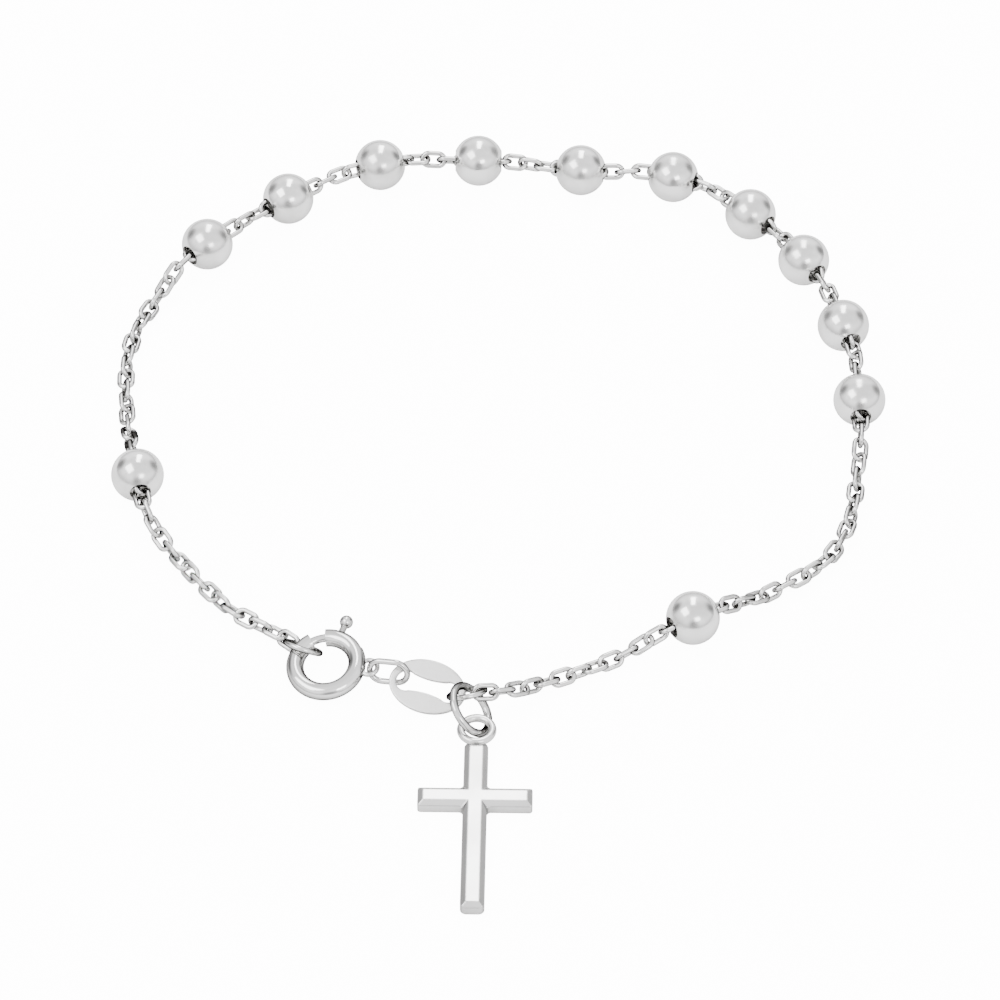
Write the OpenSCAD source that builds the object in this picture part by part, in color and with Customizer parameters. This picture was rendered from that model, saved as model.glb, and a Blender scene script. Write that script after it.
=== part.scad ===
// Rosary bracelet in silver, lying on a table as a whole closed loop: hollow round beads
// on a cable chain, a bolt ring clasp, an oval link, a tag link, a jump ring and a cross.
// X is to the right, Y away from the viewer and Z up. Units are millimetres.

/* [Beads] */
// Outer diameter of a bead
bead_d = 4; // [3.6:0.1:4.6]
// Diameter of the hole through a bead
bead_hole = 1.62; // [1.62:0.02:2]
// Thickness of a bead's silver wall
bead_wall = 0.3; // [0.2:0.05:0.45]

/* [Chain] */
// Thickness of the chain's wire
chain_wire = 0.34; // [0.3:0.01:0.34]
// Length of a chain link over its ends
link_l = 2.15; // [2:0.05:2.3]
// Width of a chain link over its sides
link_w = 1.4; // [1.34:0.02:1.42]
// Free play between two chain links when the chain is pulled straight
link_play = 0.18; // [0.16:0.01:0.22]
// Turn of each chain link against the one before, in degrees
link_turn = 66; // [64:1:90]
// Outer diameter of the round ring at either end of the chain
end_ring_d = 3.1; // [2.9:0.05:3.3]
// Wire of the round rings at the chain's ends
end_ring_wire = 0.42; // [0.34:0.02:0.46]
// Free play between linked pieces
play = 0.1; // [0.08:0.01:0.11]

/* [Clasp] */
// Outer diameter of the bolt ring
clasp_d = 5.9; // [5.5:0.1:6.4]
// Thickness of the bolt ring's tube
clasp_tube = 1.3; // [1.2:0.05:1.4]
// Angle of the gap in the bolt ring, in degrees
gap_angle = 28; // [24:1:32]
// Thickness of the sliding bolt
bolt_d = 0.6; // [0.5:0.05:0.7]
// Clearance round the bolt in its channel
bolt_play = 0.1; // [0.06:0.01:0.12]
// Travel of the bolt along the ring, in degrees
bolt_travel = 36; // [34:1:40]
// Diameter of the knob that slides the bolt
knob_d = 1; // [0.8:0.05:1.2]
// Diameter of the knob's neck
knob_neck = 0.5; // [0.4:0.05:0.6]
// Distance of the knob from the middle of the ring
knob_reach = 3.85; // [3.7:0.05:4.2]
// Outer diameter of the small eye soldered to the bolt ring
eye_d = 1.6; // [1.5:0.05:1.8]
// Wire of the small eye
eye_wire = 0.36; // [0.3:0.02:0.4]

/* [Links at the clasp] */
// Length of the oval link
oval_l = 3.3; // [3:0.05:3.6]
// Width of the oval link
oval_w = 2.2; // [2:0.05:2.4]
// Wire of the oval link
oval_wire = 0.45; // [0.36:0.02:0.48]
// Length of the tag link
tag_l = 5.8; // [5.4:0.1:6.4]
// Width of the tag link
tag_w = 4; // [3.6:0.1:4.4]
// Thickness of the tag's plate
tag_t = 0.28; // [0.2:0.02:0.3]
// Width of the tag's metal at its two ends
tag_end = 0.5; // [0.4:0.05:0.6]
// Width of the tag's slot at its middle
slot_mid = 1; // [0.8:0.05:1.2]
// Width of the tag's slot near its ends
slot_end = 1.5; // [1.3:0.05:1.7]

/* [Jump ring] */
// Outer diameter of the jump ring that carries the cross
jump_d = 4.4; // [4.3:0.05:4.6]
// Wire of the jump ring
jump_wire = 0.6; // [0.5:0.02:0.64]

/* [Cross] */
// Height of the cross without its eye
cross_h = 15.55; // [14:0.1:18]
// Width of the cross
cross_w = 8.3; // [7:0.1:10]
// Distance from the top of the cross to the middle of its arms
arm_drop = 5.15; // [4:0.1:6.5]
// Width of the bars
bar_w = 1.75; // [1.4:0.05:2]
// Thickness of the bars
bar_t = 1; // [0.8:0.05:1.2]
// Height of the bars' straight sides, below the bevel
bar_side = 0.7; // [0.5:0.02:0.8]
// Width of the bevel round the bars' flat front
bar_bevel = 0.4; // [0.2:0.05:0.5]
// Radius of the rounded corners at the upright's ends
foot_r = 0.45; // [0.2:0.05:0.6]
// Radius of the rounded corners at the crossbar's ends
arm_end_r = 0.25; // [0.15:0.05:0.4]
// Radius in the four inner corners of the cross
corner_r = 0.3; // [0.2:0.05:0.5]
// Outer diameter of the cross's eye
cross_eye_d = 2.9; // [2.7:0.05:3.2]
// Wire of the cross's eye
cross_eye_wire = 0.6; // [0.5:0.02:0.66]

/* [Hidden] */
silver = "silver";
fine = 64;
nudge = 0.01;

// Vector and frame helpers. A frame is [along, side, up]; lay() puts a piece that was
// drawn along X in the XY plane at a point, turned to its heading, rise and roll.
function unit(v) = v / norm(v);
function heading_side(h) = [-sin(h), cos(h), 0];
function frame_of(along, side, roll) =
  let (up = cross(along, side), y = cos(roll) * side + sin(roll) * up)
  [along, y, cross(along, y)];
function frame(h, rise, roll) =
  frame_of([cos(h) * cos(rise), sin(h) * cos(rise), sin(rise)], heading_side(h), roll);
function on(at, f, p) = at + p.x * f.x + p.y * f.y + p.z * f.z;
module lay(at, f) {
  multmatrix([for (i = [0:2]) [f[0][i], f[1][i], f[2][i], at[i]]]) children();
}

// A ring lying in the XY plane, given by its outer diameter and wire, and the height of
// its middle when it leans with its lowest point on the table.
function ring_r(d, wire) = (d - wire) / 2;
function ring_low(f, r, wire) = r * norm([f[0].z, f[1].z]) + wire / 2;
module ring(d, wire) {
  rotate_extrude($fn = fine) translate([ring_r(d, wire), 0]) circle(d = wire, $fn = fine);
}

// The jump ring leans over with its left side up and rests on the table.
jump_xy = [-2.11, -20.9];
jump_r = ring_r(jump_d, jump_wire);
jump_frame = frame(-31.8, -44.4, -20.6);
jump_at = [jump_xy.x, jump_xy.y, ring_low(jump_frame, jump_r, jump_wire)];
function on_jump(a) = on(jump_at, jump_frame, [jump_r * cos(a), jump_r * sin(a), 0]);

// The cross's eye is threaded on the jump ring and stands clear above its low side.
cross_heading = -91;
cross_eye_z = jump_wire + play + cross_eye_wire / 2 + 0.03;
cross_eye_r = ring_r(cross_eye_d, cross_eye_wire);
eye_on_jump = on_jump(-41.3);
eye_room_in = cross_eye_r - cross_eye_wire / 2 - jump_wire / 2 - play;
cross_eye_at = [eye_on_jump.x - 0.2 * eye_room_in, eye_on_jump.y + 0.73 * eye_room_in, cross_eye_z];
cross_top = cross_eye_r - cross_eye_wire / 6;

// The round ring at the chain's end holds the jump ring, the tag and the chain. Where a
// piece lies in a ring is given as a share of the room that it has there.
function in_ring(room, p) = [room * p.x, room * p.y, room * p.z];
end_ring_r = ring_r(end_ring_d, end_ring_wire);
end_room = end_ring_r - end_ring_wire / 2 - play;
cross_end_frame = frame(-5.4, 16.9, -34.1);
cross_end_at = on(on_jump(104.1), cross_end_frame,
  -in_ring(end_room - jump_wire / 2, [0.69, 0.33, 0]));

// The tag link: its right end is inside the chain's end ring.
tag_frame = frame(-18.8, -2.5, 28);
tag_reach = (tag_l - tag_end) / 2;
tag_right = on(cross_end_at, cross_end_frame, in_ring(end_room - tag_end / 2, [-0.72, 0.51, -0.36]));
tag_at = tag_right - tag_reach * tag_frame[0];
tag_left = tag_at - tag_reach * tag_frame[0];

// The oval link stands steeply: it holds the tag's left end and the clasp's eye.
oval_frame = frame(-13.3, 6.8, 77.4);
oval_reach = (oval_l - oval_wire) / 2;
oval_room = oval_reach - oval_wire / 2 - play - tag_end / 2;
oval_at = on(tag_left, oval_frame, -in_ring(oval_room, [0.44, -0.41, 0.16]));
oval_left = oval_at - oval_reach * oval_frame[0];

// The bolt ring leans on the oval link. Angles round it are counted from its right side.
clasp_lean = 13;
clasp_high = 58;
clasp_tilt = frame_of([cos(clasp_high) * cos(clasp_lean), sin(clasp_high) * cos(clasp_lean),
  sin(clasp_lean)], heading_side(clasp_high), 0);
clasp_frame = [on([0, 0, 0], clasp_tilt, [cos(-clasp_high), sin(-clasp_high), 0]),
  on([0, 0, 0], clasp_tilt, [-sin(-clasp_high), cos(-clasp_high), 0]), clasp_tilt[2]];
clasp_r = ring_r(clasp_d, clasp_tube);
eye_angle = -9;
hook_angle = -11.3;
eye_room = clasp_d / 2 + play + oval_wire / 2;
eye_at_r = clasp_d / 2 + oval_wire + 2.6 * play - (eye_d / 2 - eye_wire);
eye_hook = on([0, 0, 0], clasp_frame,
  [eye_room * cos(hook_angle), eye_room * sin(hook_angle), -0.17]);
clasp_at = [oval_left.x - eye_hook.x, oval_left.y - eye_hook.y,
  ring_low(clasp_frame, clasp_r, clasp_tube)];
function on_clasp(a, r) = on(clasp_at, clasp_frame, [r * cos(a), r * sin(a), 0]);

// The gap, the bolt that closes it, and the slot in which its knob slides.
gap_from = 90;
gap_to = gap_from + gap_angle;
bolt_tip = gap_to + 6;
knob_angle = gap_from - 23;
bolt_tail = knob_angle - 9;
channel_from = bolt_tail - bolt_travel - 4;
channel_to = bolt_tip + 3;
slot_room = knob_neck / 2 + bolt_play;
slot_ease = asin(slot_room / clasp_r);
slot_from = knob_angle - bolt_travel - slot_ease;
slot_to = knob_angle + slot_ease;

// The round ring at the chain's other end is threaded on the bolt ring's tube.
clasp_end_angle = 135.5;
clasp_end_out = 0.14;
clasp_end_down = 0.13;
clasp_end_at = on_clasp(clasp_end_angle, clasp_r + clasp_end_out) - clasp_end_down * clasp_frame[2];
clasp_end_frame = frame(-15.8, -10.9, -43.4);

// The chain's route, in order from the cross to the clasp. Each row holds the place on
// the table, the heading there and whether a bead sits there (1) or the chain lies (0).
ROUTE_X = 0; ROUTE_Y = 1; ROUTE_HEADING = 2; ROUTE_BEAD = 3;
route = [
  [3.9, -17.1, 23, 0],
  [8, -15.3, 25, 0],
  [14.2, -12.1, 30, 1],
  [19.8, -8.5, 36, 0],
  [24.8, -4.4, 57, 0],
  [26.8, 2, 83, 0],
  [27.4, 10.6, 91, 1],
  [26.5, 18.7, 106, 1],
  [23.7, 26, 122, 1],
  [19.7, 31.2, 136, 1],
  [13.7, 35.5, 161, 1],
  [6.4, 36.3, 173, 1],
  [-1.7, 37.4, 179, 1],
  [-9.5, 36.9, 196, 1],
  [-16.7, 33, 215, 1],
  [-22.9, 27.8, 224, 1],
  [-26.9, 22.5, 241, 0],
  [-28.7, 16.5, 266, 0],
  [-28.4, 9.5, 275, 0],
  [-27.3, 2.6, 279, 1],
  [-24.8, -3.7, 304, 0],
  [-20.3, -9.7, 312, 0],
];
chain_z = link_w / 2;
link_end = link_l / 2 - chain_wire;
chain_room = end_room - chain_wire / 2;
start_frame = frame(-7.5, 6.8, 0);
finish_frame = frame(-48.9, -0.8, 0);
chain_start = on(cross_end_at, cross_end_frame, in_ring(chain_room, [0.77, -0.59, 0.11]));
chain_finish = on(clasp_end_at, clasp_end_frame, in_ring(chain_room, [-0.51, 0.77, -0.17]));

// Stations of the route as [place, direction, half of the straight stretch].
function station(row) =
  let (bead = row[ROUTE_BEAD] == 1)
  [[row[ROUTE_X], row[ROUTE_Y], bead ? bead_d / 2 : chain_z],
   [cos(row[ROUTE_HEADING]), sin(row[ROUTE_HEADING]), 0], bead ? bead_d / 2 : 0];
stations = concat([[chain_start, start_frame[0], 0]], [for (row = route) station(row)],
  [[chain_finish, finish_frame[0], 0]]);

// Smooth curve between two stations, as a cubic with the stations' directions.
steps = 14;
function blend_at(p, q, u, v, t) =
  (2 * pow(t, 3) - 3 * pow(t, 2) + 1) * p + (pow(t, 3) - 2 * pow(t, 2) + t) * u
  + (3 * pow(t, 2) - 2 * pow(t, 3)) * q + (pow(t, 3) - pow(t, 2)) * v;
function stretch_between(a, b) =
  let (p = a[0] + a[2] * a[1], q = b[0] - b[2] * b[1], d = norm(q - p))
  [for (i = [0:steps]) blend_at(p, q, d * a[1], d * b[1], i / steps)];
path = [for (i = [0:len(stations) - 2])
  for (p = [for (j = [0:steps - 1]) stretch_between(stations[i], stations[i + 1])[j]]) p];
trail = concat(path, [stations[len(stations) - 1][0]]);
gaps = [for (i = [1:len(trail) - 1]) norm(trail[i] - trail[i - 1])];
function running(list, i = 0, sum = 0) =
  i == len(list) ? [sum] : concat([sum], running(list, i + 1, sum + list[i]));
miles = running(gaps);
trail_x = [for (i = [0:len(trail) - 1]) [miles[i], trail[i].x]];
trail_y = [for (i = [0:len(trail) - 1]) [miles[i], trail[i].y]];
trail_z = [for (i = [0:len(trail) - 1]) [miles[i], trail[i].z]];
trail_l = miles[len(miles) - 1];
function trail_at(s) = [lookup(s, trail_x), lookup(s, trail_y), lookup(s, trail_z)];

// Links sit one pitch apart, each turned against the one before. The turn is eased so
// that the last link comes to its own roll in its ring.
first_roll = 58.8;
last_roll = 49;
reach = (link_l - chain_wire) / 2;
links = round((trail_l - 2 * reach) / (link_l - 2 * chain_wire - link_play)) + 1;
pitch = (trail_l - 2 * reach) / (links - 1);
half_turns = round(((links - 1) * link_turn - last_roll + first_roll) / 180);
roll_step = (180 * half_turns + last_roll - first_roll) / (links - 1);
function link_frame(i) =
  let (s = reach + i * pitch, along = unit(trail_at(s + reach) - trail_at(s - reach)))
  frame_of(along, unit(cross([0, 0, 1], along)), first_roll + i * roll_step);
function link_at(i) =
  let (s = reach + i * pitch) (trail_at(s + reach) + trail_at(s - reach)) / 2;

// Surface of one link: sections of the wire set round an oval, just outside its centre line
// at the bows so that the bow stays as open as a round one.
bow_sections = 5;
wire_sides = 6;
bow_step = 180 / bow_sections;
oval_sections = 2 * bow_sections;
function section_angle(k) = (k - (bow_sections - 1) / 2) * bow_step;
function section_centre(k) = k < bow_sections ? (link_l - link_w) / 2 : (link_w - link_l) / 2;
function link_points(at, f) =
  [for (k = [0:oval_sections - 1]) for (j = [0:wire_sides - 1])
    let (a = section_angle(k), w = 360 * j / wire_sides,
      r = (link_w - chain_wire) / 2 / cos(bow_step / 2) + chain_wire / 2 * cos(w))
    on(at, f, [section_centre(k) + r * cos(a), r * sin(a), chain_wire / 2 * sin(w)])];
per_link = oval_sections * wire_sides;
function link_faces(n) =
  [for (k = [0:oval_sections - 1]) for (j = [0:wire_sides - 1])
    let (k2 = (k + 1) % oval_sections, j2 = (j + 1) % wire_sides, o = n * per_link,
      a = o + k * wire_sides + j, b = o + k2 * wire_sides + j,
      c = o + k2 * wire_sides + j2, d = o + k * wire_sides + j2)
    each [[a, c, b], [a, d, c]]];
module chain(from, to) {
  color(silver) polyhedron(
    points = [for (i = [from:to]) each link_points(link_at(i), link_frame(i))],
    faces = [for (i = [from:to]) each link_faces(i - from)]);
}

// Beads sit on the route's bead rows, counted from the clasp.
bead_rows = [for (i = [len(route) - 1:-1:0]) if (route[i][ROUTE_BEAD] == 1) route[i]];
module bead(i) {
  row = bead_rows[i];
  color(silver) translate([row[ROUTE_X], row[ROUTE_Y], bead_d / 2])
    rotate([0, 90, row[ROUTE_HEADING]]) rotate_extrude($fn = fine) difference() {
      circle(d = bead_d, $fn = fine);
      circle(d = bead_d - 2 * bead_wall, $fn = fine);
      translate([-bead_d, -bead_d]) square([bead_d + bead_hole / 2, 2 * bead_d]);
    }
}

module round_end(at, f) { color(silver) lay(at, f) ring(end_ring_d, end_ring_wire); }

// An oval ring: two half rings and two straight sides.
module oval_ring(l, w, wire) {
  r = ring_r(w, wire);
  for (e = [0, 180]) rotate(e) {
    translate([(l - w) / 2, 0, 0]) rotate(-90)
      rotate_extrude(angle = 180, $fn = fine) translate([r, 0]) circle(d = wire, $fn = fine);
    translate([(w - l) / 2, r, 0]) rotate([0, 90, 0]) cylinder(d = wire, h = l - w, $fn = fine);
  }
}
module oval_link() { color(silver) lay(oval_at, oval_frame) oval_ring(oval_l, oval_w, oval_wire); }

// The tag: an oval plate with a slot that is narrowest at its middle.
slot_l = tag_l - 2 * tag_end;
slot_straight = slot_l / 2 - slot_end / 2;
function slot_half(x) = slot_mid / 2 + (slot_end - slot_mid) / 2 * pow(x / slot_straight, 2);
tag_steps = 12;
module tag_outline() {
  polygon([for (a = [0:7.5:359]) [tag_l / 2 * cos(a), tag_w / 2 * sin(a)]]);
}
module slot_outline() {
  polygon(concat(
    [for (i = [-tag_steps:tag_steps]) let (x = slot_straight * i / tag_steps) [x, -slot_half(x)]],
    [for (i = [tag_steps:-1:-tag_steps]) let (x = slot_straight * i / tag_steps) [x, slot_half(x)]]));
  for (e = [-1, 1]) translate([e * slot_straight, 0]) circle(d = slot_end, $fn = fine);
}
module tag_link() {
  color(silver) lay(tag_at, tag_frame) translate([0, 0, -tag_t / 2])
    linear_extrude(tag_t) difference() { tag_outline(); slot_outline(); }
}

module jump_ring() { color(silver) lay(jump_at, jump_frame) ring(jump_d, jump_wire); }

// The bolt ring: a tube with a gap, bored for the bolt, with a slot for the knob and a
// small eye soldered to its outside.
module sector(from, to) {
  rotate(from) rotate_extrude(angle = to - from, $fn = fine) children();
}
module clasp_ring() {
  color(silver) lay(clasp_at, clasp_frame) difference() {
    union() {
      sector(gap_to, gap_from + 360) translate([clasp_r, 0]) circle(d = clasp_tube, $fn = fine);
      rotate(eye_angle) translate([eye_at_r, 0, 0]) ring(eye_d, eye_wire);
    }
    sector(channel_from, channel_to) translate([clasp_r, 0])
      circle(d = bolt_d + 2 * bolt_play, $fn = fine);
    sector(slot_from, slot_to) translate([clasp_r, -slot_room]) square([clasp_tube, 2 * slot_room]);
  }
}
module clasp_bolt() {
  color(silver) lay(clasp_at, clasp_frame) {
    sector(bolt_tail, bolt_tip) translate([clasp_r, 0]) circle(d = bolt_d, $fn = fine);
    rotate(knob_angle) translate([clasp_r, 0, 0]) rotate([0, 90, 0])
      cylinder(d = knob_neck, h = knob_reach - clasp_r, $fn = fine);
    rotate(knob_angle) translate([knob_reach, 0, 0]) sphere(d = knob_d, $fn = fine);
  }
}

// The cross: bars with a flat front, a bevel all round and rounded corners at the ends,
// and an eye at its top.
module bevelled(l) {
  polygon([[0, 0], [l, 0], [l, bar_side], [l - bar_bevel, bar_t], [bar_bevel, bar_t],
    [0, bar_side]]);
}
module rounded_outline(l, end_r) {
  translate([end_r, -bar_w / 2]) square([l - 2 * end_r, bar_w]);
  translate([0, end_r - bar_w / 2]) square([l, bar_w - 2 * end_r]);
  for (x = [end_r, l - end_r]) for (y = [end_r - bar_w / 2, bar_w / 2 - end_r])
    translate([x, y]) circle(r = end_r, $fn = fine);
}
module bar(l, end_r) {
  intersection() {
    linear_extrude(bar_t) rounded_outline(l, end_r);
    translate([0, -bar_w / 2, 0]) rotate([90, 0, 90]) linear_extrude(l) bevelled(bar_w);
    translate([0, bar_w / 2, 0]) rotate([90, 0, 0]) linear_extrude(bar_w) bevelled(l);
  }
}
module corner_fillets() {
  for (a = [0:90:270]) rotate(a) translate([bar_w / 2, bar_w / 2, 0])
    linear_extrude(bar_side - nudge) difference() {
      translate([-nudge, -nudge]) square(corner_r + nudge);
      translate([corner_r, corner_r]) circle(r = corner_r, $fn = fine);
    }
}
module cross_pendant() {
  color(silver) translate([cross_eye_at.x, cross_eye_at.y, 0]) rotate(cross_heading) {
    translate([cross_top, 0, 0]) bar(cross_h, foot_r);
    translate([cross_top + arm_drop, -cross_w / 2, 0]) rotate(90) bar(cross_w, arm_end_r);
    translate([cross_top + arm_drop, 0, 0]) corner_fillets();
    translate([0, 0, cross_eye_z]) ring(cross_eye_d, cross_eye_wire);
  }
}

half_links = floor(links / 2);
for (i = [0:len(bead_rows) - 1]) bead(i);
chain(0, half_links - 1);  // chain_right
chain(half_links, links - 1);  // chain_left
round_end(cross_end_at, cross_end_frame);  // end_ring_cross
round_end(clasp_end_at, clasp_end_frame);  // end_ring_clasp
clasp_ring();
clasp_bolt();
oval_link();
tag_link();
jump_ring();
cross_pendant();  // cross
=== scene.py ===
import math
import bpy
import numpy as np
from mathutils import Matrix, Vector


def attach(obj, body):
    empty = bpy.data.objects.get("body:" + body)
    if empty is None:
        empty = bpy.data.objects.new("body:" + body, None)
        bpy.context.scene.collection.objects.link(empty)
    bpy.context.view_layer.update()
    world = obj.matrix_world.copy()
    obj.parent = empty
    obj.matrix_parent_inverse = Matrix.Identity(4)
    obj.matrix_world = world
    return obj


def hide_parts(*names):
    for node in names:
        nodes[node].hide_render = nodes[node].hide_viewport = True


# Rosary bracelet in polished silver on a white table, seen from the front and above.

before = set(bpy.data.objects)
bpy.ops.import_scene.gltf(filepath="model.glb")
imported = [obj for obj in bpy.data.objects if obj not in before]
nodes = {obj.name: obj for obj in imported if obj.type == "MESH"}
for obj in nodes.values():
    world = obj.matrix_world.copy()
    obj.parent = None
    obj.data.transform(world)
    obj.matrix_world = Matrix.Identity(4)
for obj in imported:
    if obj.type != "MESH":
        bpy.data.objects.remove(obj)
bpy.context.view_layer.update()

# Camera, fitted to the photograph's view
TARGET = Vector((0.0, 0.0019, 0.0))
DISTANCE = 0.450
ELEVATION = math.radians(46.0)
SENSOR_MM = 36.0
LENS_MM = 214.65
NEAREST = 0.01
FARTHEST = 10.0

# Chain links, in metres
LINK_LENGTH = 0.00215
LINK_WIDTH = 0.00140
LINK_WIRE = 0.000385
BOW_STEPS = 22
WIRE_STEPS = 12
# Points of a chain's mesh are one point where they agree in steps of this many to a metre
WELD_STEPS = 1e7

# Rounded rims of the beads, in metres, and the angle past which an edge stays an edge
RIM_SOFTNESS = 0.00005
RIM_STEPS = 4
SHARP_ANGLE = math.radians(34.0)

# Silver's colours: polished, hazed and tarnished, and the painted shade on its turned-away sides and sharp
# edges
BRIGHT = (0.955, 0.950, 0.940, 1.0)
DULL = (0.810, 0.803, 0.790, 1.0)
TARNISH = (0.34, 0.33, 0.31, 1.0)
PAINTED_SHADE = (0.060, 0.059, 0.056, 1.0)

# Two sets of hairlines left by polishing: how each is turned, and how it is stretched
HAIRLINES = (
    ((0.3, 0.2, 0.7), (1.0, 14.0, 6.0)),
    ((1.1, -0.5, 2.0), (12.0, 1.0, 7.0)),
)
HAIRLINE_DETAIL = 3.0
HAZE_DETAIL = 4.0
# Where each mask starts and ends, in its own measure
HAIRLINE_RANGE = (0.56, 0.80)
HAZE_RANGE = (0.38, 0.66)
# The next two ranges mark where painted shade falls: on the sharpest edges, and on sides turned away from
# the view
SHADED_EDGE_RANGE = (0.76, 0.97)
PAINTED_RIM_SHADE_RANGE = (0.08, 0.56)
EDGE_SAMPLES = 6
# How far a corner has to fall below a flat surface, which reads 0.5, to be fully tarnished
FLAT = 0.5
HOLLOW_REACH = 0.08
RELIEF_STRENGTH = 0.25

# The table: its paper, and its own glow as the camera sees it and as the silver reflects it
FLOOR_SIZE = 1.6
FLOOR_DROP = 0.00005
PAPER_WHITE = (0.92, 0.92, 0.92, 1.0)
PAPER_ROUGHNESS = 0.9
PAPER_SHINE = 0.1
PAPER_GRAIN = 900.0
PAPER_DETAIL = 2.0
PAPER_RELIEF = 0.00002
PAPER_RELIEF_STRENGTH = 0.05
GLOW_WHITE = (1.0, 1.0, 1.0, 1.0)
GLOW_IN_VIEW = 12.5
GLOW_ON_SILVER = 0.12

# The light tent: its greys by height, from the table's edge up to straight above
TENT_STRENGTH = 2.3
TENT_BLUE = 1.01
TENT_ENDS = (0.38, 0.80)
TENT_STEPS = ((0.06, 0.46), (0.16, 0.72), (0.30, 0.88), (0.60, 0.95), (0.85, 0.85))
# The tent's uneven cloth: the size of its folds, their range, and the light that they leave
CLOTH_SCALE = 1.7
CLOTH_DETAIL = 1.0
CLOTH_RANGE = (0.40, 0.58)
CLOTH_LIGHT = (0.80, 1.0)
# Dark flags in the tent: heading, inner and outer angle in degrees, and what light they leave
FLAGS = (
    ((-0.83, 0.44, 0.33), 6, 25, 0.16),
    ((0.86, 0.40, 0.31), 6, 24, 0.20),
    ((0.03, -0.95, 0.32), 8, 24, 0.30),
)
# Soft lights in the tent: name, place, size and power
SOFTBOXES = (
    ("key_softbox", (-0.30, -0.10, 0.45), (0.34, 0.26), 1.1),
    ("back_strip", (0.02, 0.30, 0.42), (0.13, 0.40), 1.1),
    ("front_softbox", (0.18, -0.40, 0.35), (0.20, 0.15), 0.4),
)


def place_in_scene(name, data):
    """A new object with the given data, in the scene."""
    thing = bpy.data.objects.new(name, data)
    bpy.context.collection.objects.link(thing)
    return thing


def make_camera():
    """The camera looks at the target from the front, at the photograph's height."""
    lens = bpy.data.cameras.new("bracelet_camera")
    lens.sensor_width = SENSOR_MM
    lens.lens = LENS_MM
    lens.clip_start = NEAREST
    lens.clip_end = FARTHEST
    camera = place_in_scene("bracelet_camera", lens)
    away = Vector((0.0, -math.cos(ELEVATION), math.sin(ELEVATION)))
    camera.location = TARGET + DISTANCE * away
    camera.rotation_euler = (math.pi / 2 - ELEVATION, 0.0, 0.0)
    bpy.context.scene.camera = camera


def new_material(name):
    """A material with its shader and its output, and nothing else in its node tree."""
    material = bpy.data.materials.new(name)
    material.use_nodes = True
    tree = material.node_tree
    tree.nodes.clear()
    shader = tree.nodes.new("ShaderNodeBsdfPrincipled")
    output = tree.nodes.new("ShaderNodeOutputMaterial")
    tree.links.new(shader.outputs["BSDF"], output.inputs["Surface"])
    return material, tree, shader


def new_effect(name, inputs, outputs):
    """A node group: inputs are pairs of a label and a value, outputs of a label and a kind."""
    group = bpy.data.node_groups.new(name, "ShaderNodeTree")
    for label, value in inputs:
        socket = group.interface.new_socket(name=label, in_out="INPUT", socket_type="NodeSocketFloat")
        socket.default_value = value
    for label, kind in outputs:
        group.interface.new_socket(name=label, in_out="OUTPUT", socket_type=kind)
    return group, group.nodes.new("NodeGroupInput"), group.nodes.new("NodeGroupOutput")


def feed(tree, value, socket):
    """Links a socket to another one, or sets it to a number or a colour."""
    if isinstance(value, bpy.types.NodeSocket):
        tree.links.new(value, socket)
    else:
        socket.default_value = value


def math_node(tree, operation, first, second):
    """A sum of two values, each a socket or a number."""
    node = tree.nodes.new("ShaderNodeMath")
    node.operation = operation
    feed(tree, first, node.inputs[0])
    feed(tree, second, node.inputs[1])
    return node.outputs["Value"]


def spread(tree, value, low, high, to_low, to_high):
    """Maps a value from one range to another, clamped."""
    node = tree.nodes.new("ShaderNodeMapRange")
    feed(tree, value, node.inputs["Value"])
    feed(tree, low, node.inputs["From Min"])
    feed(tree, high, node.inputs["From Max"])
    feed(tree, to_low, node.inputs["To Min"])
    feed(tree, to_high, node.inputs["To Max"])
    return node.outputs["Result"]


def alignment(tree, first, second):
    """How far two directions agree: 1 for the same, 0 for square to each other."""
    node = tree.nodes.new("ShaderNodeVectorMath")
    node.operation = "DOT_PRODUCT"
    feed(tree, first, node.inputs[0])
    feed(tree, second, node.inputs[1])
    return node.outputs["Value"]


def mix_colour(tree, factor, first, second):
    """A colour between two others, each a socket or a colour."""
    node = tree.nodes.new("ShaderNodeMix")
    node.data_type = "RGBA"
    # The node has A, B and Result once for each kind of data; these are the colour ones
    first_colour, second_colour, result = node.inputs[6], node.inputs[7], node.outputs[2]
    feed(tree, factor, node.inputs["Factor"])
    feed(tree, first, first_colour)
    feed(tree, second, second_colour)
    return result


def object_noise(tree, scale, detail, lines=None):
    """Noise in the object's own space, optionally turned and stretched into fine lines."""
    place = tree.nodes.new("ShaderNodeTexCoord").outputs["Object"]
    if lines:
        mapping = tree.nodes.new("ShaderNodeMapping")
        turn, stretch = lines
        mapping.inputs["Rotation"].default_value = turn
        mapping.inputs["Scale"].default_value = stretch
        tree.links.new(place, mapping.inputs["Vector"])
        place = mapping.outputs["Vector"]
    noise = tree.nodes.new("ShaderNodeTexNoise")
    tree.links.new(place, noise.inputs["Vector"])
    feed(tree, scale, noise.inputs["Scale"])
    feed(tree, detail, noise.inputs["Detail"])
    return noise.outputs["Fac"]


def polish_scratches():
    """Hairlines left by the polishing cloth: a roughness and a height."""
    group, given, result = new_effect(
        "polish_scratches",
        [("Fineness", 900.0), ("Depth", 0.05)],
        [("Roughness", "NodeSocketFloat"), ("Height", "NodeSocketFloat")])
    first, second = [
        object_noise(group, given.outputs["Fineness"], HAIRLINE_DETAIL, lines) for lines in HAIRLINES]
    marks = spread(group, math_node(group, "MAXIMUM", first, second), *HAIRLINE_RANGE, 0.0, 1.0)
    rough = math_node(group, "MULTIPLY", marks, given.outputs["Depth"])
    group.links.new(rough, result.inputs["Roughness"])
    group.links.new(marks, result.inputs["Height"])
    return group


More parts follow.
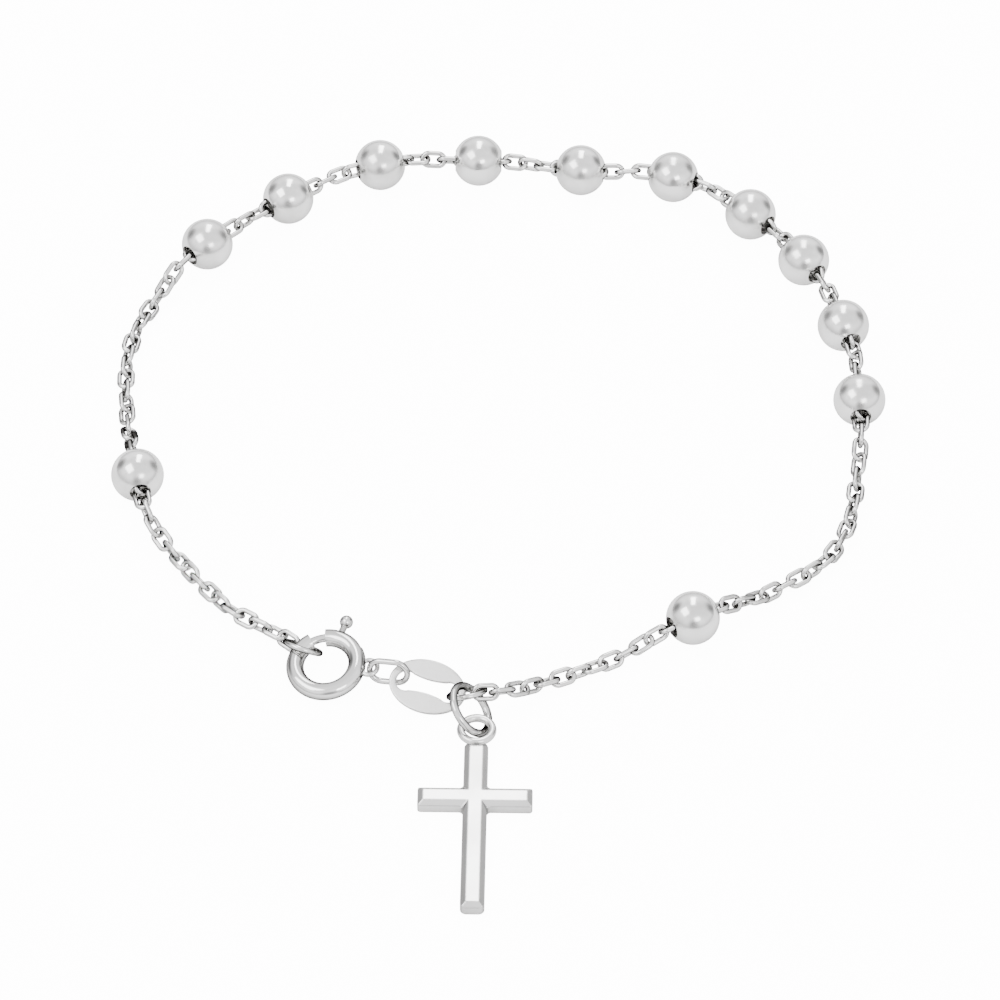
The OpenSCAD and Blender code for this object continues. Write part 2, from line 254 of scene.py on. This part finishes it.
def handling_haze():
    """Soft uneven haze of handled silver: a roughness and a dulling of the colour."""
    group, given, result = new_effect(
        "handling_haze",
        [("Size", 260.0), ("Amount", 0.06)],
        [("Roughness", "NodeSocketFloat"), ("Dulling", "NodeSocketFloat")])
    cloud = object_noise(group, given.outputs["Size"], HAZE_DETAIL)
    haze = spread(group, cloud, *HAZE_RANGE, 0.0, 1.0)
    rough = math_node(group, "MULTIPLY", haze, given.outputs["Amount"])
    group.links.new(rough, result.inputs["Roughness"])
    group.links.new(haze, result.inputs["Dulling"])
    return group


def tarnished_hollows():
    """Inner corners that hold tarnish, as a mask."""
    group, given, result = new_effect(
        "tarnished_hollows",
        [("Reach", HOLLOW_REACH)],
        [("Hollow", "NodeSocketFloat")])
    point = group.nodes.new("ShaderNodeNewGeometry").outputs["Pointiness"]
    deepest = math_node(group, "SUBTRACT", FLAT, given.outputs["Reach"])
    group.links.new(spread(group, point, deepest, FLAT, 1.0, 0.0), result.inputs["Hollow"])
    return group


def rolled_edges():
    """Edges that look rounded over a radius in metres, and a mask of the sharpest of them."""
    group, given, result = new_effect(
        "rolled_edges",
        [("Radius", 0.0001)],
        [("Normal", "NodeSocketVector"), ("Edge", "NodeSocketFloat")])
    straight = group.nodes.new("ShaderNodeNewGeometry").outputs["Normal"]
    bevel = group.nodes.new("ShaderNodeBevel")
    bevel.samples = EDGE_SAMPLES
    group.links.new(given.outputs["Radius"], bevel.inputs["Radius"])
    rounded = bevel.outputs["Normal"]
    # This mask of the sharpest edges is where the silver gets painted shade
    edge = spread(group, alignment(group, straight, rounded), *SHADED_EDGE_RANGE, 1.0, 0.0)
    group.links.new(rounded, result.inputs["Normal"])
    group.links.new(edge, result.inputs["Edge"])
    return group


SCRATCHES = polish_scratches()
HAZE = handling_haze()
HOLLOWS = tarnished_hollows()
ROLLED = rolled_edges()


def use_effect(tree, effect, **values):
    """An effect's outputs in a material, with the material's own values."""
    node = tree.nodes.new("ShaderNodeGroup")
    node.node_tree = effect
    for label, value in values.items():
        node.inputs[label].default_value = value
    return node.outputs


def silver(name, polish, scratch, haze, relief, rim, fineness=900.0, haze_size=260.0, rolled=0.0, edge_shade=0.0):
    """Polished silver. polish is its lowest roughness, scratch and haze how much the hairlines
    and the haze roughen it, relief the hairlines' depth in metres, and rim how much painted
    shade darkens its turned-away sides and their reflections. fineness and haze_size set the scale of
    both, rolled is the radius of its edges in metres, and edge_shade how much painted shade darkens its
    sharpest edges."""
    material, tree, shader = new_material(name)
    lines = use_effect(tree, SCRATCHES, Fineness=fineness, Depth=scratch)
    cloud = use_effect(tree, HAZE, Size=haze_size, Amount=haze)
    hollows = use_effect(tree, HOLLOWS, Reach=HOLLOW_REACH)
    # Painted shade: a mask of the sides turned away from the view, darkened in the colour below to stand
    # for dark reflections
    turned = tree.nodes.new("ShaderNodeLayerWeight")
    turned.inputs["Blend"].default_value = 0.5
    painted_rim_shade = spread(tree, turned.outputs["Facing"], *PAINTED_RIM_SHADE_RANGE, 0.0, rim)
    bump = tree.nodes.new("ShaderNodeBump")
    bump.inputs["Strength"].default_value = RELIEF_STRENGTH
    bump.inputs["Distance"].default_value = relief
    tree.links.new(lines["Height"], bump.inputs["Height"])

    body = mix_colour(tree, cloud["Dulling"], BRIGHT, DULL)
    body = mix_colour(tree, hollows["Hollow"], body, TARNISH)
    body = mix_colour(tree, painted_rim_shade, body, PAINTED_SHADE)
    if rolled:
        edges = use_effect(tree, ROLLED, Radius=rolled)
        # Painted shade: the sharpest edges are darkened in the colour, standing for the dark line of
        # reflection along an edge
        body = mix_colour(tree, math_node(tree, "MULTIPLY", edges["Edge"], edge_shade), body, PAINTED_SHADE)
        tree.links.new(edges["Normal"], bump.inputs["Normal"])
    rough = math_node(tree, "ADD", lines["Roughness"], cloud["Roughness"])
    rough = math_node(tree, "ADD", rough, polish)

    tree.links.new(body, shader.inputs["Base Color"])
    tree.links.new(rough, shader.inputs["Roughness"])
    tree.links.new(bump.outputs["Normal"], shader.inputs["Normal"])
    shader.inputs["Metallic"].default_value = 1.0
    # Painted shade: the same rim amount also dims the bright reflections at grazing angles
    shader.inputs["Specular Tint"].default_value = (1.0 - rim, 1.0 - rim, 1.0 - rim, 1.0)
    return material


BEAD_SILVER = silver(
    "bead_silver", polish=0.13, scratch=0.05, haze=0.12, relief=0.000003, rim=0.06, haze_size=520.0)
CHAIN_SILVER = silver(
    "chain_silver", polish=0.08, scratch=0.04, haze=0.05, relief=0.000002, rim=0.90, fineness=1400.0)
CLASP_SILVER = silver(
    "clasp_silver", polish=0.05, scratch=0.03, haze=0.04, relief=0.000002, rim=0.78,
    rolled=0.00010, edge_shade=0.6)
RING_SILVER = silver(
    "ring_silver", polish=0.06, scratch=0.03, haze=0.04, relief=0.000002, rim=0.92)
TAG_SILVER = silver(
    "tag_silver", polish=0.20, scratch=0.08, haze=0.08, relief=0.000003, rim=0.0, fineness=1200.0,
    rolled=0.00022, edge_shade=0.9)
CROSS_SILVER = silver(
    "cross_silver", polish=0.13, scratch=0.06, haze=0.06, relief=0.000003, rim=0.42,
    rolled=0.00016, edge_shade=0.50)

# The silver of the pieces that aren't beads or chain
FINISHES = {
    "clasp_ring": CLASP_SILVER,
    "clasp_bolt": CLASP_SILVER,
    "oval_link": RING_SILVER,
    "jump_ring": RING_SILVER,
    "end_ring_cross": CHAIN_SILVER,
    "end_ring_clasp": CHAIN_SILVER,
    "tag_link": TAG_SILVER,
    "cross": CROSS_SILVER,
}


def paint(piece, material):
    """One material over a whole piece."""
    piece.data.materials.clear()
    piece.data.materials.append(material)


def link_surface():
    """Points and faces of one round-wire link, its length along X and its width along Y."""
    bow_r = (LINK_WIDTH - LINK_WIRE) / 2
    wire_r = LINK_WIRE / 2
    bow_x = (LINK_LENGTH - LINK_WIDTH) / 2
    sections = [(bow_x, -90 + 180 * k / BOW_STEPS) for k in range(BOW_STEPS + 1)]
    sections += [(-bow_x, 90 + 180 * k / BOW_STEPS) for k in range(BOW_STEPS + 1)]
    points = []
    for middle, degrees in sections:
        a = math.radians(degrees)
        for j in range(WIRE_STEPS):
            w = 2 * math.pi * j / WIRE_STEPS
            r = bow_r + wire_r * math.cos(w)
            points.append((middle + r * math.cos(a), r * math.sin(a), wire_r * math.sin(w)))
    faces = []
    for k in range(len(sections)):
        this_one, next_one = k * WIRE_STEPS, (k + 1) % len(sections) * WIRE_STEPS
        for j in range(WIRE_STEPS):
            j2 = (j + 1) % WIRE_STEPS
            faces.append((this_one + j, next_one + j, next_one + j2, this_one + j2))
    return np.array(points), faces


def loose_links(piece):
    """The points of each separate link of a chain node."""
    mesh = piece.data
    points = np.empty(len(mesh.vertices) * 3)
    mesh.vertices.foreach_get("co", points)
    points = points.reshape(-1, 3)
    keys = np.round(points * WELD_STEPS).astype(np.int64)
    unique, first, place = np.unique(keys, axis=0, return_index=True, return_inverse=True)
    place = place.reshape(-1)
    parent = list(range(len(unique)))

    def root(i):
        while parent[i] != i:
            parent[i] = parent[parent[i]]
            i = parent[i]
        return i

    for edge in mesh.edges:
        start, end = edge.vertices
        parent[root(place[start])] = root(place[end])
    groups = {}
    for i in range(len(unique)):
        groups.setdefault(root(i), []).append(first[i])
    return [points[members] for members in groups.values()]


def smooth_chain(name, node):
    """A chain of smooth round-wire links that lie where the node's links lie."""
    shape, faces = link_surface()
    points, all_faces = [], []
    for link in loose_links(nodes[node]):
        # A link is longest along its first axis and thinnest along its third
        middle = link.mean(axis=0)
        axes = np.linalg.svd(link - middle, full_matrices=False)[2]
        axes[2] = np.cross(axes[0], axes[1])
        start = len(points) * len(shape)
        points.append(middle + shape @ axes)
        all_faces += [tuple(start + i for i in face) for face in faces]
    mesh = bpy.data.meshes.new(name)
    mesh.from_pydata(np.vstack(points).tolist(), [], all_faces)
    mesh.shade_smooth()
    chain = place_in_scene(name, mesh)
    paint(chain, CHAIN_SILVER)
    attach(chain, "bracelet")
    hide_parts(node)


def smooth(piece):
    """Smooth shading that keeps the true edges of a piece."""
    piece.data.shade_smooth()
    piece.data.set_sharp_from_angle(angle=SHARP_ANGLE)


def round_rims(bead):
    """Narrow rounded rims round a bead's hole."""
    bevel = bead.modifiers.new("soft_edges", "BEVEL")
    bevel.width = RIM_SOFTNESS
    bevel.segments = RIM_STEPS
    bevel.limit_method = "ANGLE"
    bevel.angle_limit = SHARP_ANGLE
    bevel.harden_normals = True


def dress_frame():
    """Silver on every piece of the frame. The chain's own nodes, which the smooth chains
    replace, keep their plain shading."""
    for name, piece in nodes.items():
        if name.startswith("bead_"):
            paint(piece, BEAD_SILVER)
            smooth(piece)
            round_rims(piece)
        elif name in FINISHES:
            paint(piece, FINISHES[name])
            smooth(piece)
        else:
            paint(piece, CHAIN_SILVER)


def white_paper():
    """Faintly grained white paper that glows in the camera's view."""
    material, tree, shader = new_material("white_paper")
    bump = tree.nodes.new("ShaderNodeBump")
    bump.inputs["Strength"].default_value = PAPER_RELIEF_STRENGTH
    bump.inputs["Distance"].default_value = PAPER_RELIEF
    tree.links.new(object_noise(tree, PAPER_GRAIN, PAPER_DETAIL), bump.inputs["Height"])
    tree.links.new(bump.outputs["Normal"], shader.inputs["Normal"])
    shader.inputs["Base Color"].default_value = PAPER_WHITE
    shader.inputs["Roughness"].default_value = PAPER_ROUGHNESS
    shader.inputs["Specular IOR Level"].default_value = PAPER_SHINE
    shader.inputs["Emission Color"].default_value = GLOW_WHITE
    seen = tree.nodes.new("ShaderNodeLightPath").outputs["Is Camera Ray"]
    glow = spread(tree, seen, 0.0, 1.0, GLOW_ON_SILVER, GLOW_IN_VIEW)
    tree.links.new(glow, shader.inputs["Emission Strength"])
    return material


def make_floor():
    """The white table top."""
    half = FLOOR_SIZE / 2
    mesh = bpy.data.meshes.new("table_top")
    corners = [(-half, -half, 0), (half, -half, 0), (half, half, 0), (-half, half, 0)]
    mesh.from_pydata(corners, [], [(0, 1, 2, 3)])
    floor = place_in_scene("table_top", mesh)
    floor.location.z = -FLOOR_DROP
    paint(floor, white_paper())


def make_softbox(name, place, size, power):
    """A rectangular soft light that points at the bracelet."""
    light = bpy.data.lights.new(name, "AREA")
    light.shape = "RECTANGLE"
    light.size, light.size_y = size
    light.energy = power
    lamp = place_in_scene(name, light)
    lamp.location = place
    lamp.rotation_euler = (TARGET - Vector(place)).to_track_quat("-Z", "Y").to_euler()


def tent_greys(tree, height):
    """The tent's grey at a height, from 0 at the table to 1 straight above."""
    node = tree.nodes.new("ShaderNodeValToRGB")
    ramp = node.color_ramp
    ramp.elements[0].position = 0.0
    ramp.elements[1].position = 1.0
    for element, grey in zip(ramp.elements, TENT_ENDS):
        element.color = (grey, grey, grey * TENT_BLUE, 1.0)
    for position, grey in TENT_STEPS:
        element = ramp.elements.new(position)
        element.color = (grey, grey, grey * TENT_BLUE, 1.0)
    tree.links.new(height, node.inputs["Fac"])
    return node.outputs["Color"]


def tent_shade(tree, direction):
    """How much light the tent's uneven cloth and its dark flags leave in a direction."""
    cloth = tree.nodes.new("ShaderNodeTexNoise")
    cloth.inputs["Scale"].default_value = CLOTH_SCALE
    cloth.inputs["Detail"].default_value = CLOTH_DETAIL
    tree.links.new(direction, cloth.inputs["Vector"])
    shade = spread(tree, cloth.outputs["Fac"], *CLOTH_RANGE, *CLOTH_LIGHT)
    for heading, inner, outer, light in FLAGS:
        match = alignment(tree, direction, Vector(heading).normalized())
        rim, core = math.cos(math.radians(outer)), math.cos(math.radians(inner))
        shade = math_node(tree, "MULTIPLY", shade, spread(tree, match, rim, core, 1.0, light))
    return shade


def make_tent():
    """The light tent: bright above, darker low down, with dark flags at both sides and in front."""
    world = bpy.data.worlds.new("light_tent")
    bpy.context.scene.world = world
    world.use_nodes = True
    tree = world.node_tree
    tree.nodes.clear()
    direction = tree.nodes.new("ShaderNodeTexCoord").outputs["Generated"]
    split = tree.nodes.new("ShaderNodeSeparateXYZ")
    tree.links.new(direction, split.inputs["Vector"])
    tent = tree.nodes.new("ShaderNodeVectorMath")
    tent.operation = "SCALE"
    tree.links.new(tent_greys(tree, split.outputs["Z"]), tent.inputs[0])
    tree.links.new(tent_shade(tree, direction), tent.inputs["Scale"])
    background = tree.nodes.new("ShaderNodeBackground")
    background.inputs["Strength"].default_value = TENT_STRENGTH
    tree.links.new(tent.outputs["Vector"], background.inputs["Color"])
    output = tree.nodes.new("ShaderNodeOutputWorld")
    tree.links.new(background.outputs["Background"], output.inputs["Surface"])


make_camera()
smooth_chain("chain_right_links", "chain_right")
smooth_chain("chain_left_links", "chain_left")
dress_frame()
make_floor()
make_tent()
for softbox in SOFTBOXES:
    make_softbox(*softbox)
